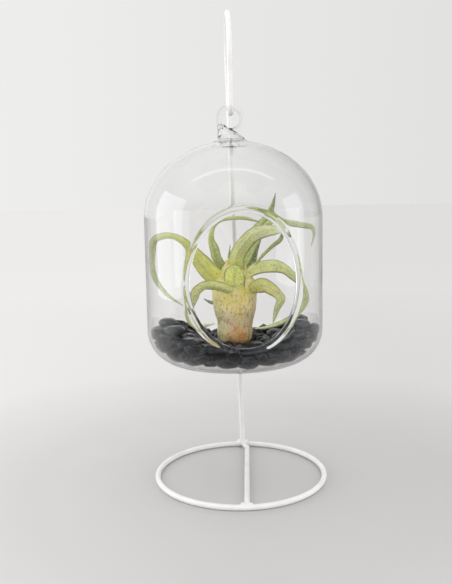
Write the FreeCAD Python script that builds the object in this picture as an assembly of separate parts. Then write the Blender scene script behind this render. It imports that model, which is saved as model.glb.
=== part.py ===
import FreeCAD, Part
import math
import os
import random

# An air plant holder: a bent wire stand on a ring base, and a clear glass cloche with an open front that
# hangs from the stand's hook by a glass eye and holds black pebbles and an air plant.
# Millimetres. The origin is the ring base's centre on the surface that it stands on. +Z is up, the open
# front faces -Y and the post rises at the back.

# Bent round stock, of wire and of glass, is drawn with flats
bar_sides = 12
bend_step = 13.0  # degrees of a bend between two sections
# Sections of a rounded end: distance and radius as shares of the stock's radius.
round_end_shares = [(0.45, 0.86), (0.75, 0.60)]

# Wire stand
wire_diameter = 3.3
ring_radius = 51.0  # to the wire's centre line
ring_steps = 48
strut_front_x = 2.2
strut_rear_x = 5.2
post_foot_x = 2.4
post_foot_inset = 1.4  # from the ring's centre line
strut_kink_setback = 5.6  # where the wire steps aside before it turns up
strut_kink_bend = 6.0
post_foot_bend = 4.4
post_lean_left = 7.2
post_lean_back = 4.4
stand_height = 280.0
crook_flat = 1.8  # straight left between the two bends of the crook
hook_drop = 62.1  # from the crook's top to the centre of the wire in the hook
hook_bend = 5.0
hook_flat = 0.3
hook_tip_rise = 7.4
weld_bead_radius = 2.1
weld_bead_offset = 2.0
weld_bead_steps = 6

# Glass cloche
globe_x = -2.4
globe_y = -5.0
globe_radius = 51.6
globe_height = 128.8
globe_wall = 1.6
globe_corner_radius = 19.6
globe_dome_height = 44.3
opening_half_width = 30.7
opening_rise = 40.3
opening_drop = 34.2
opening_centre_height = 50.8  # above the underside of the glass
opening_turn = 5.35  # degrees to the right of straight ahead
rim_diameter = 2.8
rim_steps = 36
globe_sides = 64
corner_steps = 4
# Where the dome has its sections, as shares of the quarter turn from its shoulder to its top.
dome_turn_shares = (0, 0.15, 0.30, 0.44, 0.58, 0.71, 0.83, 0.94)

# Glass eye that hangs on the hook
eye_x = -3.0
eye_radius = 6.75  # to the rod's centre line
eye_rod_diameter = 3.3
eye_clearance = 0.15
eye_stem_height = 11.8  # from the top of the dome to the eye's centre
eye_start_angle = 236.0  # degrees, where the rod leaves the stem
eye_turn = 322.0  # degrees of the ring that the rod makes
# Centre's offset and radius as shares of the eye's radius, and drop as a share of the stem's height.
eye_stem_shares = [
    (0.00, 1.75, 1.20),
    (0.00, 1.40, 1.07),
    (0.00, 1.22, 0.97),
    (0.00, 1.16, 0.88),
    (-0.20, 0.95, 0.71),
    (-0.58, 0.58, 0.50),
    (-0.84, 0.33, 0.26),
]

# Pebbles
pebble_length = 19.5
pebble_width = 14.5
pebble_thickness = 10.8
pebble_clearance = 0.2
pebble_settling_share = 0.1  # of the clearance, at which a pebble lies still
pebble_sides = 9
pebble_seed = 7
# Heights of the faceted sections, as shares of half the thickness.
pebble_level_shares = (-0.86, -0.36, 0.28, 0.84)
pebble_reach_shares = (0.52, 0.93, 0.96, 0.50)
# How far each pebble may differ, as shares: of its size, thickness and place, of a radian for its turn and
# tilt, and of its reach for its roundness.
pebble_size_shares = (0.94, 1.04)
pebble_thickness_shares = (0.92, 1.06)
pebble_place_shares = (0.98, 1.02)
pebble_turn_share = 0.2
pebble_tilt_share = 0.12
pebble_bulge_share = 0.07
# Each ring of pebbles: name, radius as a share of the inner radius, count, first angle, whether the long axis
# lies along the radius, size share, thickness share, the least share of sideways bearing and the most of
# rearward bearing that a pebble needs to be laid. The upper rings bank up at the sides and stay low behind.
pebble_ring_shares = [
    ("pebble_centre", 0.00, 1, 0.00, True, 0.86, 0.70, 0.00, 1.0),
    ("pebbles_inner", 0.345, 6, 0.30, True, 1.00, 0.92, 0.00, 1.0),
    ("pebbles_outer", 0.735, 11, 0.10, False, 0.98, 0.90, 0.00, 1.0),
    ("pebbles_upper", 0.56, 9, 0.55, False, 0.90, 0.74, 0.62, 0.5),
    ("pebbles_wall", 0.80, 13, 0.22, False, 0.94, 0.68, 0.00, 0.5),
    ("pebbles_bank", 0.79, 11, 0.40, False, 0.84, 0.58, 0.78, 0.5),
]

# Air plant
plant_height = 89.5
plant_seat_clearance = 0.3
bulb_radius = 12.7
bulb_sides = 18
leaf_thickness = 1.1
leaf_steps = 14
leaf_channel_share = 0.30
# The blade's corners: place across, as a share of the half width, and side, of the half thickness.
leaf_corner_shares = [(-1, 0), (-0.5, 1), (0, 1), (0.5, 1), (1, 0), (0.5, -1), (0, -1), (-0.5, -1)]
# The bulb's outline: radius as a share of the bulb's radius, height as a share of the plant's.
bulb_outline_shares = [
    (0.40, 0.000),
    (0.62, 0.015),
    (0.75, 0.045),
    (0.80, 0.090),
    (0.77, 0.137),
    (0.82, 0.180),
    (0.93, 0.242),
    (0.98, 0.315),
    (1.00, 0.394),
    (0.92, 0.442),
    (0.68, 0.495),
    (0.50, 0.545),
    (0.28, 0.580),
]
# Each leaf's route from the crown to its tip. X, Y and half width are shares of the glass's inner radius, Z is
# a share of the plant's height, and the last is how far the blade turns its edge to the front, as a share of
# a quarter turn.
leaf_route_shares = {
    "leaf_left_long": [
        (-0.14, -0.04, 0.433, 0.117, 0.2),
        (-0.28, -0.08, 0.485, 0.123, 0.2),
        (-0.37, -0.12, 0.549, 0.110, 0.2),
        (-0.45, -0.16, 0.616, 0.076, 0.2),
        (-0.53, -0.20, 0.678, 0.054, 0.2),
        (-0.62, -0.22, 0.719, 0.043, 0.2),
        (-0.71, -0.22, 0.738, 0.036, 0.2),
        (-0.80, -0.22, 0.738, 0.041, 0.2),
        (-0.89, -0.18, 0.718, 0.044, 0.2),
        (-0.93, -0.14, 0.683, 0.045, 0.2),
        (-0.94, -0.10, 0.626, 0.038, 0.2),
        (-0.95, -0.10, 0.568, 0.033, 0.2),
        (-0.93, -0.16, 0.503, 0.035, 0.2),
        (-0.88, -0.22, 0.445, 0.028, 0.2),
        (-0.79, -0.30, 0.387, 0.021, 0.2),
        (-0.71, -0.38, 0.354, 0.015, 0.2),
        (-0.57, -0.48, 0.312, 0.005, 0.2),
    ],
    "leaf_right_broad": [
        (0.02, -0.08, 0.482, 0.096, 0.15),
        (0.02, -0.14, 0.531, 0.098, 0.15),
        (0.03, -0.22, 0.599, 0.089, 0.15),
        (0.08, -0.29, 0.656, 0.088, 0.15),
        (0.17, -0.36, 0.720, 0.085, 0.15),
        (0.26, -0.42, 0.756, 0.080, 0.15),
        (0.38, -0.48, 0.772, 0.065, 0.15),
        (0.47, -0.52, 0.771, 0.045, 0.15),
        (0.52, -0.56, 0.761, 0.011, 0.15),
    ],
    "leaf_right_long": [
        (0.14, -0.08, 0.475, 0.055, 0.2),
        (0.25, -0.12, 0.517, 0.073, 0.2),
        (0.37, -0.16, 0.533, 0.075, 0.2),
        (0.49, -0.18, 0.534, 0.075, 0.2),
        (0.59, -0.20, 0.512, 0.057, 0.2),
        (0.67, -0.20, 0.473, 0.051, 0.2),
        (0.75, -0.20, 0.431, 0.042, 0.2),
        (0.80, -0.20, 0.379, 0.045, 0.2),
        (0.82, -0.20, 0.320, 0.049, 0.2),
        (0.79, -0.22, 0.279, 0.049, 0.2),
        (0.71, -0.28, 0.233, 0.042, 0.2),
        (0.61, -0.36, 0.202, 0.033, 0.2),
        (0.47, -0.44, 0.178, 0.027, 0.2),
        (0.33, -0.50, 0.165, 0.018, 0.2),
        (0.22, -0.54, 0.166, 0.006, 0.2),
    ],
    "leaf_left_low": [
        (0.04, -0.18, 0.377, 0.049, 0.2),
        (-0.04, -0.26, 0.383, 0.054, 0.2),
        (-0.15, -0.32, 0.410, 0.060, 0.2),
        (-0.25, -0.38, 0.427, 0.062, 0.2),
        (-0.34, -0.44, 0.429, 0.056, 0.2),
        (-0.42, -0.48, 0.401, 0.056, 0.2),
        (-0.45, -0.50, 0.363, 0.053, 0.2),
        (-0.48, -0.50, 0.318, 0.041, 0.2),
        (-0.52, -0.50, 0.272, 0.035, 0.2),
        (-0.51, -0.50, 0.232, 0.033, 0.2),
        (-0.48, -0.50, 0.199, 0.029, 0.2),
        (-0.42, -0.50, 0.184, 0.025, 0.2),
        (-0.33, -0.48, 0.184, 0.018, 0.2),
        (-0.23, -0.44, 0.192, 0.006, 0.2),
    ],
    "leaf_right_low": [
        (0.18, -0.18, 0.384, 0.053, 0.15),
        (0.26, -0.24, 0.409, 0.082, 0.15),
        (0.34, -0.32, 0.420, 0.079, 0.15),
        (0.42, -0.38, 0.399, 0.067, 0.15),
        (0.49, -0.42, 0.366, 0.055, 0.15),
        (0.52, -0.44, 0.333, 0.053, 0.15),
        (0.48, -0.42, 0.280, 0.038, 0.15),
        (0.45, -0.40, 0.222, 0.021, 0.15),
        (0.43, -0.38, 0.183, 0.004, 0.15),
    ],
    "leaf_top_spike": [
        (0.07, 0.08, 0.512, 0.062, 0.2),
        (0.15, 0.16, 0.628, 0.069, 0.2),
        (0.27, 0.22, 0.746, 0.069, 0.2),
        (0.42, 0.24, 0.830, 0.064, 0.2),
        (0.44, 0.24, 0.869, 0.040, 0.2),
        (0.48, 0.22, 0.927, 0.024, 0.2),
        (0.51, 0.18, 1.000, 0.004, 0.2),
    ],
    "leaf_left_inner": [
        (-0.07, -0.02, 0.478, 0.031, 0.2),
        (-0.10, -0.03, 0.505, 0.043, 0.2),
        (-0.20, -0.06, 0.579, 0.059, 0.2),
        (-0.23, -0.09, 0.647, 0.057, 0.2),
        (-0.26, -0.12, 0.705, 0.040, 0.2),
        (-0.25, -0.16, 0.763, 0.028, 0.2),
        (-0.21, -0.18, 0.808, 0.025, 0.2),
        (-0.13, -0.18, 0.836, 0.023, 0.2),
        (-0.00, -0.16, 0.845, 0.022, 0.2),
        (0.12, -0.12, 0.844, 0.022, 0.2),
        (0.21, -0.08, 0.831, 0.017, 0.2),
        (0.31, -0.02, 0.815, 0.004, 0.2),
    ],
    "leaf_right_top": [
        (0.11, 0.04, 0.527, 0.050, 0.2),
        (0.22, 0.10, 0.644, 0.050, 0.2),
        (0.34, 0.16, 0.747, 0.044, 0.2),
        (0.44, 0.18, 0.807, 0.038, 0.2),
        (0.52, 0.18, 0.825, 0.034, 0.2),
        (0.61, 0.18, 0.807, 0.038, 0.2),
        (0.74, 0.16, 0.795, 0.040, 0.2),
        (0.87, 0.14, 0.782, 0.035, 0.2),
        (0.93, 0.10, 0.774, 0.031, 0.2),
        (0.96, 0.06, 0.747, 0.026, 0.2),
        (0.95, 0.02, 0.708, 0.015, 0.2),
        (0.91, -0.02, 0.650, 0.004, 0.2),
    ],
    "leaf_right_thin": [
        (0.18, -0.06, 0.467, 0.012, 0.2),
        (0.24, -0.10, 0.534, 0.015, 0.2),
        (0.31, -0.16, 0.589, 0.018, 0.2),
        (0.37, -0.22, 0.629, 0.020, 0.2),
        (0.44, -0.30, 0.670, 0.023, 0.2),
        (0.51, -0.38, 0.705, 0.026, 0.2),
        (0.53, -0.44, 0.734, 0.020, 0.2),
        (0.53, -0.46, 0.751, 0.007, 0.2),
    ],
    "leaf_back_short": [
        (0.14, 0.06, 0.500, 0.025, 0.2),
        (0.21, 0.10, 0.554, 0.051, 0.2),
        (0.25, 0.14, 0.613, 0.041, 0.2),
        (0.29, 0.18, 0.656, 0.025, 0.2),
        (0.33, 0.20, 0.686, 0.004, 0.2),
    ],
    "leaf_back_spike": [
        (-0.07, 0.04, 0.487, 0.025, 0.2),
        (-0.06, 0.08, 0.567, 0.017, 0.2),
        (-0.05, 0.12, 0.614, 0.011, 0.2),
        (-0.04, 0.14, 0.662, 0.004, 0.2),
    ],
    "leaf_front_short": [
        (0.02, -0.22, 0.374, 0.087, 0.1),
        (0.00, -0.25, 0.434, 0.098, 0.1),
        (0.01, -0.26, 0.486, 0.087, 0.1),
        (0.03, -0.25, 0.524, 0.052, 0.1),
        (0.05, -0.24, 0.546, 0.009, 0.1),
    ],
    "leaf_back_curl": [
        (-0.15, 0.16, 0.345, 0.032, 0.2),
        (-0.21, 0.20, 0.291, 0.031, 0.2),
        (-0.26, 0.24, 0.266, 0.027, 0.2),
        (-0.31, 0.26, 0.272, 0.018, 0.2),
        (-0.37, 0.27, 0.291, 0.004, 0.2),
    ],
}

# Cutters reach past what they cut by this much.
overrun = 4.0
# Four corners lie in one facet when the fourth is this near to the others' plane.
facet_flatness = 0.0000001

# Places worked out from the sizes above
wire_radius = wire_diameter / 2
post_foot_y = ring_radius - post_foot_inset
post_top = FreeCAD.Vector(post_foot_x - post_lean_left, post_foot_y + post_lean_back, stand_height - wire_radius)
hook_z = stand_height - hook_drop
hook_front_y = globe_y - hook_bend - hook_flat / 2
hook_tip_y = globe_y + hook_bend + hook_flat / 2
eye_rod_radius = eye_rod_diameter / 2
eye_z = hook_z + wire_radius + eye_clearance - (eye_radius - eye_rod_radius)
globe_top_z = eye_z - eye_stem_height
globe_bottom_z = globe_top_z - globe_height
globe_shoulder_z = globe_top_z - globe_dome_height
inner_radius = globe_radius - globe_wall
inner_corner_radius = globe_corner_radius - globe_wall
inner_corner_chord = inner_corner_radius * math.cos(math.pi / 4 / corner_steps)
inner_floor_z = globe_bottom_z + globe_wall
opening_z = globe_bottom_z + opening_centre_height
middle_radius = globe_radius - globe_wall / 2
middle_dome = globe_dome_height - globe_wall / 2
up = FreeCAD.Vector(0, 0, 1)
forward = FreeCAD.Vector(0, -1, 0)
rightward = FreeCAD.Vector(1, 0, 0)
globe_axis = FreeCAD.Vector(globe_x, globe_y, 0)
eye_centre = FreeCAD.Vector(eye_x, globe_y, eye_z)


def vector(x, y, z):
    return FreeCAD.Vector(x, y, z)


def largest(shape):
    """The biggest solid of a shape that a cut may have split."""
    return max(shape.Solids, key=lambda solid: solid.Volume)


def save(shape, node):
    shape.exportStep("parts/" + node + ".step")


def flat_face(corners):
    return Part.Face(Part.makePolygon(corners + corners[:1]))


def skin(rings, loop=False):
    """A solid with flat facets through rings of corners, closed by end faces or, for a loop, by its first ring."""
    faces = []
    for near, far in zip(rings, rings[1:] + rings[:1] if loop else rings[1:]):
        for side in range(len(near)):
            first, second, third, fourth = near[side], near[side - 1], far[side - 1], far[side]
            normal = (second - first).cross(third - first)
            if abs(normal.dot(fourth - first)) < facet_flatness * normal.Length:
                faces.append(flat_face([first, second, third, fourth]))
            else:
                faces.append(flat_face([first, second, third]))
                faces.append(flat_face([first, third, fourth]))
    if not loop:
        faces.append(flat_face(rings[0]))
        faces.append(flat_face(rings[-1]))
    solid = Part.makeSolid(Part.makeShell(faces))
    if solid.Volume < 0:
        solid.reverse()
    return solid


def section(centre, along, reference, radius, sides=bar_sides):
    """A ring of corners around a bar of the given radius, with a flat that faces the reference."""
    across = (reference - along * reference.dot(along)).normalize()
    beside = along.cross(across)
    reach = radius / math.cos(math.pi / sides)
    corners = []
    for side in range(sides):
        angle = math.pi * (2 * side + 1) / sides
        corners.append(centre + across * (reach * math.cos(angle)) + beside * (reach * math.sin(angle)))
    return corners


def bar_sections(route, reference, radius):
    """Rings of corners along a route of places and directions."""
    return [section(place, along, reference, radius) for place, along in route]


def rounded_end(route, reference, radius):
    """The last rings of a bar, which round its end off."""
    place, along = route[-1]
    return [
        section(place + along * (reach * radius), along, reference, share * radius)
        for reach, share in round_end_shares
    ]


def arc_route(centre, start, axis, angle):
    """Places and directions on an arc, from start round the axis through centre, by an angle in degrees."""
    steps = math.ceil(angle / bend_step)
    route = []
    for step in range(steps + 1):
        spoke = FreeCAD.Rotation(axis, angle * step / steps).multVec(start - centre)
        route.append((centre + spoke, axis.cross(spoke).normalize()))
    return route


def bent_route(points, bends):
    """A bent wire's route: straight between the points, with an arc of the given radius at each inner one."""
    route = [(points[0], (points[1] - points[0]).normalize())]
    for before, corner, after, bend in zip(points, points[1:], points[2:], bends):
        ahead = (corner - before).normalize()
        onward = (after - corner).normalize()
        axis = ahead.cross(onward).normalize()
        turn = ahead.getAngle(onward)
        start = corner - ahead * (bend * math.tan(turn / 2))
        route += arc_route(start + axis.cross(ahead) * bend, start, axis, math.degrees(turn))
    return route + [(points[-1], (points[-1] - points[-2]).normalize())]


# Stand

def below_floor():
    side = ring_radius * 3
    return Part.makeBox(side, side, side, vector(-side / 2, -side / 2, -side))


def base_ring():
    rings = []
    for step in range(ring_steps):
        turn = 2 * math.pi * step / ring_steps
        place = vector(ring_radius * math.cos(turn), ring_radius * math.sin(turn), wire_radius)
        rings.append(section(place, vector(-math.sin(turn), math.cos(turn), 0), up, wire_radius))
    return skin(rings, True)


def post_wire(ring):
    """One bent wire: strut across the ring, post, crook and hook."""
    points = [
        vector(strut_front_x, -ring_radius, wire_radius),
        vector(strut_rear_x, post_foot_y - strut_kink_setback, wire_radius),
        vector(post_foot_x, post_foot_y, wire_radius),
        post_top,
        vector(eye_x, hook_front_y, post_top.z),
        vector(eye_x, hook_front_y, hook_z),
        vector(eye_x, hook_tip_y, hook_z),
        vector(eye_x, hook_tip_y, hook_z + hook_tip_rise),
    ]
    crook_bend = (post_top.y - hook_front_y - crook_flat) / 2
    bends = [strut_kink_bend, post_foot_bend, crook_bend, crook_bend, hook_bend, hook_bend]
    route = bent_route(points, bends)
    rings = bar_sections(route, rightward, wire_radius) + rounded_end(route, rightward, wire_radius)
    return largest(skin(rings).cut(ring))


def weld_beads(x, y, z, ring, wire):
    """A bead of weld on each side of the wire, where it meets the ring."""
    beads = []
    for side in (-1, 1):
        centre = vector(x + side * weld_bead_offset, y, z)
        rings = []
        for step in range(1, weld_bead_steps):
            turn = math.pi * step / weld_bead_steps
            level = centre - up * (weld_bead_radius * math.cos(turn))
            rings.append(section(level, up, rightward, weld_bead_radius * math.sin(turn)))
        beads.append(largest(skin(rings).cut(ring).cut(wire).cut(below_floor())))
    return Part.makeCompound(beads)


# Glass

def cloche_solid(inset):
    """The cloche as a full solid, whose surface lies inside the outer one by inset."""
    radius = globe_radius - inset
    corner = globe_corner_radius - inset
    bottom = globe_bottom_z + inset
    dome = globe_dome_height - inset
    outline = []
    for step in range(corner_steps + 1):
        turn = math.pi / 2 * step / corner_steps
        outline.append((radius - corner * (1 - math.sin(turn)), bottom + corner * (1 - math.cos(turn))))
    for share in dome_turn_shares:
        turn = math.pi / 2 * share
        outline.append((radius * math.cos(turn), globe_shoulder_z + dome * math.sin(turn)))
    return skin([section(globe_axis + up * level, up, forward, reach, globe_sides) for reach, level in outline])


def rim_point(turn, radius, dome):
    """A point of the egg-shaped opening's edge, on a cloche of the given radius and dome height."""
    across = opening_half_width * math.cos(turn)
    reach = opening_rise if math.sin(turn) > 0 else opening_drop
    height = opening_z + reach * math.sin(turn)
    above = max(0, height - globe_shoulder_z) / dome
    wall = radius * math.sqrt(1 - above**2)
    return vector(across, -math.sqrt(wall**2 - across**2), height)


def turned_to_opening(shape):
    shape.rotate(vector(0, 0, 0), up, opening_turn)
    shape.translate(globe_axis)
    return shape


def opening_prism():
    """The egg-shaped opening, drawn through the front of the glass."""
    corners = []
    for step in range(rim_steps):
        point = rim_point(2 * math.pi * step / rim_steps, middle_radius, middle_dome)
        corners.append(vector(point.x, 0, point.z))
    return turned_to_opening(flat_face(corners).extrude(forward * (globe_radius + overrun)))


def rim_bead():
    """The fire-polished rim: a round bead that follows the opening along the middle of the wall."""
    points = [rim_point(2 * math.pi * step / rim_steps, middle_radius, middle_dome) for step in range(rim_steps)]
    rings = []
    for step, point in enumerate(points):
        along = (points[(step + 1) % rim_steps] - points[step - 1]).normalize()
        rings.append(section(point, along, vector(point.x, point.y, 0), rim_diameter / 2))
    return turned_to_opening(skin(rings, True))


def glass_globe():
    shell = cloche_solid(0).cut(cloche_solid(globe_wall))
    return largest(shell.cut(opening_prism()).fuse(rim_bead()))


def hanging_eye():
    """A glass rod drawn up from a stem on the dome, curled over and back down onto the stem."""
    turn = math.radians(eye_start_angle)
    start = eye_centre + vector(eye_radius * math.cos(turn), 0, eye_radius * math.sin(turn))
    route = arc_route(eye_centre, start, -forward, eye_turn)
    rings = bar_sections(route, forward, eye_rod_radius) + rounded_end(route, forward, eye_rod_radius)
    stem = []
    for offset_share, radius_share, drop_share in eye_stem_shares:
        centre = eye_centre + vector(offset_share * eye_radius, 0, -drop_share * eye_stem_height)
        stem.append(section(centre, up, rightward, radius_share * eye_radius))
    return largest(skin(rings).fuse(skin(stem)).cut(cloche_solid(0)))


# Pebbles

def pebble_points(length, width, thickness, yaw, tilt, bulge):
    """The corners of a faceted pebble about its own centre, section by section."""
    cos_yaw, sin_yaw = math.cos(yaw), math.sin(yaw)
    cos_tilt, sin_tilt = math.cos(tilt), math.sin(tilt)
    sections = []
    for level, reach in zip(pebble_level_shares, pebble_reach_shares):
        corners = []
        for side in range(pebble_sides):
            angle = 2 * math.pi * side / pebble_sides
            swell = reach * (1 + bulge * math.sin(2 * angle + yaw))
            x = length / 2 * swell * math.cos(angle)
            y = width / 2 * swell * math.sin(angle)
            z = thickness / 2 * level
            x, z = x * cos_tilt - z * sin_tilt, x * sin_tilt + z * cos_tilt
            corners.append(vector(x * cos_yaw - y * sin_yaw, x * sin_yaw + y * cos_yaw, z))
        sections.append(corners)
    return sections


def gap_to_glass(centre, corners):
    """The least distance from a pebble's corners to the inside of the glass."""
    flat = inner_radius - inner_corner_radius
    corner_z = inner_floor_z + inner_corner_radius
    least = inner_radius
    for corner in corners:
        place = centre + corner
        reach = math.hypot(place.x - globe_x, place.y - globe_y)
        gap = min(inner_radius - reach, place.z - inner_floor_z)
        if place.z < corner_z and reach > flat:
            gap = min(gap, inner_corner_chord - math.hypot(reach - flat, corner_z - place.z))
        least = min(least, gap)
    return least


def gap_between(centre, corners, other_centre, other_corners):
    """The distance between two convex pebbles: the shortest point of their difference, walked to from outside."""
    between = other_centre - centre
    point = vector(between.x, between.y, between.z)
    best = 0
    for step in range(pebble_sides * 3):
        length = point.Length
        if length < pebble_clearance / 2:
            break
        way = point / length
        nearest = max(corners, key=way.dot)
        farthest = min(other_corners, key=way.dot)
        support = between + farthest - nearest
        best = max(best, way.dot(support))
        if length - best < pebble_clearance / 4:
            break
        move = support - point
        share = min(1, max(0, -point.dot(move) / move.dot(move)))
        point = point + move * share
    return best


def lay_pebble(x, y, corners, laid):
    """Lowers a pebble until it all but touches the glass or another pebble, and gives its centre."""
    centre = vector(x, y, globe_shoulder_z)
    gap = pebble_length
    while gap > pebble_clearance * (1 + pebble_settling_share):
        gap = gap_to_glass(centre, corners)
        for other_centre, other_corners in laid:
            if (other_centre - centre).Length < gap + pebble_length * 2:
                gap = min(gap, gap_between(centre, corners, other_centre, other_corners))
        centre.z -= max(0, gap - pebble_clearance)
    return centre


def pebble_solid(centre, sections):
    return skin([[centre + corner for corner in ring] for ring in sections])


def pebble_bed():
    """All pebbles, as a dictionary of lists of solids by node."""
    rng = random.Random(pebble_seed)
    laid = []
    nodes = {}
    for node, radius_share, count, start, radial, size_share, thick_share, sideways, rearward in pebble_ring_shares:
        nodes[node] = []
        for place in range(count):
            angle = 2 * math.pi * (place + start) / count
            size = size_share * rng.uniform(*pebble_size_shares)
            thickness = pebble_thickness * thick_share * rng.uniform(*pebble_thickness_shares)
            yaw = angle + (0 if radial else math.pi / 2) + rng.uniform(-pebble_turn_share, pebble_turn_share)
            tilt = rng.uniform(-pebble_tilt_share, pebble_tilt_share)
            reach = radius_share * inner_radius * rng.uniform(*pebble_place_shares)
            bulge = rng.uniform(-pebble_bulge_share, pebble_bulge_share)
            if abs(math.cos(angle)) < sideways or math.sin(angle) > rearward:
                continue
            sections = pebble_points(pebble_length * size, pebble_width * size, thickness, yaw, tilt, bulge)
            corners = [corner for ring in sections for corner in ring]
            x = globe_x + reach * math.cos(angle)
            y = globe_y + reach * math.sin(angle)
            centre = lay_pebble(x, y, corners, laid)
            laid.append((centre, corners))
            nodes[node].append(pebble_solid(centre, sections))
    return nodes


# Plant

def plant_bulb(base_z):
    rings = []
    for radius_share, height_share in bulb_outline_shares:
        level = globe_axis + up * (base_z + height_share * plant_height)
        rings.append(section(level, up, rightward, radius_share * bulb_radius, bulb_sides))
    return skin(rings)


def leaf_section(centre, along, half_width, face_share):
    """A shallow channel across the leaf: eight corners around a thin blade."""
    depth = vector(0, 1, 0)
    edge_on = (depth - along * depth.dot(along)).normalize()
    broad = along.cross(edge_on)
    turn = face_share * math.pi / 2
    across = broad * math.cos(turn) + edge_on * math.sin(turn)
    normal = across.cross(along)
    thick = min(leaf_thickness, half_width) / 2
    lift = half_width * leaf_channel_share
    corners = []
    for share, side in leaf_corner_shares:
        rise = lift * share**2 + side * thick
        corners.append(centre + across * (half_width * share) + normal * rise)
    return corners


def leaf(rows, base_z):
    """A leaf lofted through channel sections along its route."""
    places = [
        vector(globe_x + x * inner_radius, globe_y + y * inner_radius, base_z + z * plant_height)
        for x, y, z, width, face in rows
    ]
    spine = Part.BSplineCurve()
    spine.interpolate(places)
    sections = []
    for step in range(leaf_steps + 1):
        share = step / leaf_steps
        parameter = spine.FirstParameter + share * (spine.LastParameter - spine.FirstParameter)
        row = share * (len(rows) - 1)
        low = min(int(row), len(rows) - 2)
        blend = row - low
        half_width = inner_radius * (rows[low][3] * (1 - blend) + rows[low + 1][3] * blend)
        face = rows[low][4] * (1 - blend) + rows[low + 1][4] * blend
        along = vector(*spine.tangent(parameter)[0])
        sections.append(leaf_section(spine.value(parameter), along, half_width, face))
    return skin(sections)


def plant_leaves(bulb, base_z):
    """The leaves by node. Each is cut where it comes out of the bulb, and by the leaves that stand before it."""
    leaves = {}
    standing = [bulb]
    for node, rows in leaf_route_shares.items():
        blade = largest(leaf(rows, base_z).cut(standing))
        leaves[node] = blade
        standing.append(blade)
    return leaves


def main():
    os.makedirs("parts", exist_ok=True)
    ring = base_ring()
    wire = post_wire(ring)
    save(ring, "base_ring")
    save(wire, "post_wire")
    inner_edge = ring_radius - wire_radius
    save(weld_beads(strut_front_x, -inner_edge, wire_radius, ring, wire), "front_weld")
    save(weld_beads(post_foot_x, inner_edge, wire_diameter, ring, wire), "rear_weld")
    save(glass_globe(), "glass_globe")
    save(hanging_eye(), "hanging_eye")
    bed = pebble_bed()
    for node, solids in bed.items():
        save(Part.makeCompound(solids), node)
    base_z = bed["pebble_centre"][0].BoundBox.ZMax + plant_seat_clearance
    bulb = plant_bulb(base_z)
    save(bulb, "plant_bulb")
    for node, blade in plant_leaves(bulb, base_z).items():
        save(blade, node)


main()
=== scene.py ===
import math

import bmesh
import bpy
import numpy as np
from mathutils import Matrix, Vector, noise


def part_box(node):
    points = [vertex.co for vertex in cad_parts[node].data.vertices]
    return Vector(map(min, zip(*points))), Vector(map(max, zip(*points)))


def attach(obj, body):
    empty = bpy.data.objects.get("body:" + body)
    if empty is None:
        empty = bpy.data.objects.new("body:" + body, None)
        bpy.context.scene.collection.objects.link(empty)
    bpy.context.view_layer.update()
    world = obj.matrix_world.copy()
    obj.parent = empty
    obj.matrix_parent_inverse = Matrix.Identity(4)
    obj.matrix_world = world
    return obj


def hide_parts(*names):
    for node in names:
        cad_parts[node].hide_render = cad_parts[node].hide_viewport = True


# The dressed air plant holder: painted wire stand, blown glass cloche, dark pebbles and an air plant.
# Lengths are in millimetres in the frame of the CAD model; every mesh is turned into metres when it is made.
# Colours are screen values from 0 to 255.

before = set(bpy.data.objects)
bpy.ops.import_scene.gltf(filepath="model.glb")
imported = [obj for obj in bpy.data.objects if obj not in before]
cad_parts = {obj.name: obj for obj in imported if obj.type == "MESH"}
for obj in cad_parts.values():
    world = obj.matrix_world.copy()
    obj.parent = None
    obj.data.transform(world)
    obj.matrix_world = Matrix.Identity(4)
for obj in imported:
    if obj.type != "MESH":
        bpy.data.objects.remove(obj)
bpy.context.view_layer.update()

metre = 1000.0


def corners_of(node):
    """A CAD node's lowest and highest corners, in millimetres."""
    low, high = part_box(node)
    return np.array(low) * metre, np.array(high) * metre


# Wire stand, as in the CAD model. Unevenness is the size of the waves and their share of the radius.
ring_low, ring_high = corners_of("base_ring")
wire_radius = (ring_high[2] - ring_low[2]) / 2
ring_radius = (ring_high[0] - ring_low[0]) / 2 - wire_radius
stand_height = corners_of("post_wire")[1][2]
strut_front_x = 2.2
strut_rear_x = 5.2
post_foot_x = 2.4
post_foot_inset = 1.4
strut_kink_setback = 5.6
strut_kink_bend = 6.0
post_foot_bend = 4.4
post_lean_left = 7.2
post_lean_back = 4.4
crook_flat = 1.8
hook_drop = 62.1
hook_bend = 5.0
hook_flat = 0.3
hook_tip_rise = 7.4
ring_steps = 240
ring_unevenness = (14.0, 0.012)
bar_unevenness = (16.0, 0.015)
bar_spacing = 5.0
bar_bend_degrees = 5.0
bar_end_rings = 6
bar_end_quarter = 6.3  # rings to a quarter turn, so the last one stays a little open
bar_end_share = 0.8
weld_bead_radius = 2.1
weld_bead_offset = 2.0
weld_bead_rings = 14
weld_bead_sides = 20
weld_unevenness = (1.3, 0.14)
table_clearance = 0.05

# Glass cloche
globe_x = -2.4
globe_y = -5.0
globe_radius = 51.6
globe_bottom_z = corners_of("glass_globe")[0][2]
globe_height = 128.8
globe_top_z = globe_bottom_z + globe_height
globe_wall = 1.6
inner_radius = globe_radius - globe_wall
globe_corner_radius = 19.6
globe_corner_z = globe_bottom_z + globe_corner_radius
globe_flat_radius = globe_radius - globe_corner_radius
globe_dome_height = 44.3
globe_shoulder_z = globe_top_z - globe_dome_height
opening_half_width = 29.9
opening_rise = 38.7
opening_drop = 34.2
opening_centre_height = 50.8
opening_turn = math.radians(6.0)
rim_diameter = 2.8
rim_blend = 1.7  # over which the bead runs out into the wall
rim_steps = 12
foot_steps, corner_steps, wall_steps, dome_steps = 60, 90, 60, 180
shell_columns = 200
shell_rows = 96
shell_crowding = 1.7  # rows lie closer together near the rim
shell_centre_height = 0.5 * globe_height

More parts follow.
